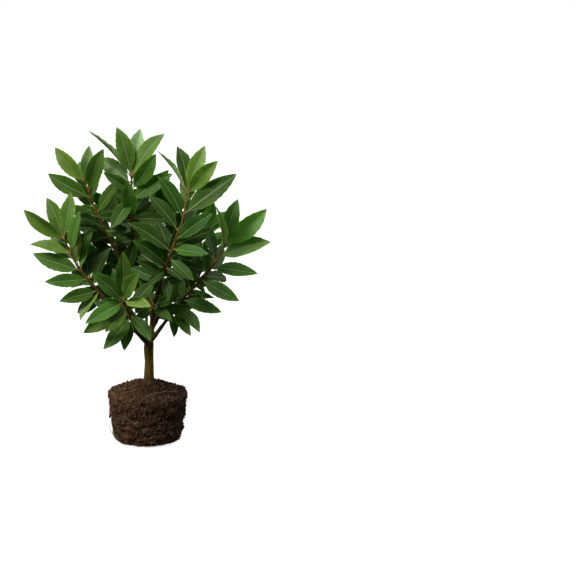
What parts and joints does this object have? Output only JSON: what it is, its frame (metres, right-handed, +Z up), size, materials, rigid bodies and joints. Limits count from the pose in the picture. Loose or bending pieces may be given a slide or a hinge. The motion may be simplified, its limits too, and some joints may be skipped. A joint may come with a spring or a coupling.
{
  "type": "young bay laurel with bare root ball",
  "caption": "Young bay laurel shrub on a short bare trunk, with leafy shoots to all sides and a bare root ball in the shape of the pot it grew in.",
  "frame": {"origin": "middle of the flat foot of the root ball, on the surface that the plant stands on", "axes": "+Z up along the trunk, -Y to the front, +X to the right as seen from the front"},
  "size_m": [0.4537, 0.358, 0.5911],
  "materials": {
    "soil": "crumbly, matte, matted with fine roots",
    "bark": "smooth young bark, matte",
    "foliage": "leathery leaf, glossy above and matte below"
  },
  "bodies": {
    "root": {"root_ball": "soil", "trunk": "bark", "shoot_left": "foliage", "shoot_front_low": "foliage", "shoot_upper_left": "foliage", "shoot_top": "foliage", "shoot_upper_right": "foliage", "shoot_right": "foliage", "shoot_inner": "foliage", "shoot_back_left": "foliage", "shoot_back_right": "foliage", "shoot_back_low": "foliage", "shoot_back_upper_left": "foliage", "shoot_back_upper_right": "foliage", "shoot_back_top": "foliage"}
  },
  "joints": []
}
